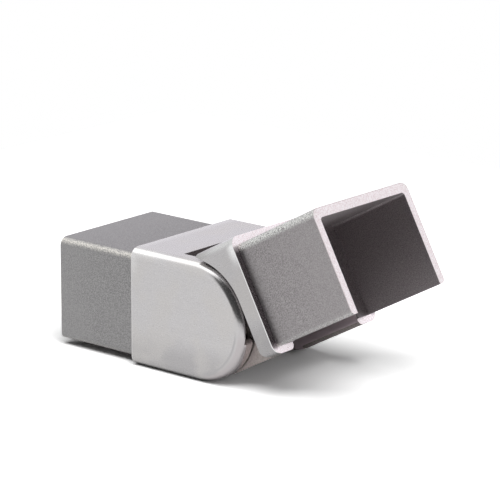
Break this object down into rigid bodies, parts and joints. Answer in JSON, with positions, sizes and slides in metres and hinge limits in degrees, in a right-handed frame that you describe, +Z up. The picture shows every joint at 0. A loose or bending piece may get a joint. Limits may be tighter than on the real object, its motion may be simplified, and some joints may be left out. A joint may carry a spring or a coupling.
{
  "type": "adjustable handrail connector",
  "caption": "Hinged stainless connector that joins two slotted rectangular handrail tubes at an angle set between straight and steeply rising.",
  "frame": {"origin": "centre of the fixed half's section in the plane of its rim, where the rail tube ends", "axes": "+X along the fixed rail towards the hinge, +Y across the rail along the hinge axis, +Z up"},
  "size_m": [0.0928, 0.04, 0.0485],
  "materials": {
    "cast_stainless": "bodies brushed, spigots shot-blasted",
    "screw_steel": "turned",
    "washer_steel": "stamped"
  },
  "bodies": {
    "fixed": {"fixed_half": "cast_stainless", "near_pivot_screw": "screw_steel", "far_pivot_screw": "screw_steel", "near_pivot_washer": "washer_steel", "far_pivot_washer": "washer_steel"},
    "tilting": {"tilting_half": "cast_stainless"}
  },
  "joints": [
    {"name": "tilt", "type": "hinge", "parent": "fixed", "child": "tilting", "pos_m": [0.02065, 0, 0], "axis": [0, -1, 0], "range_deg": [-28.75, 16.25]}
  ]
}
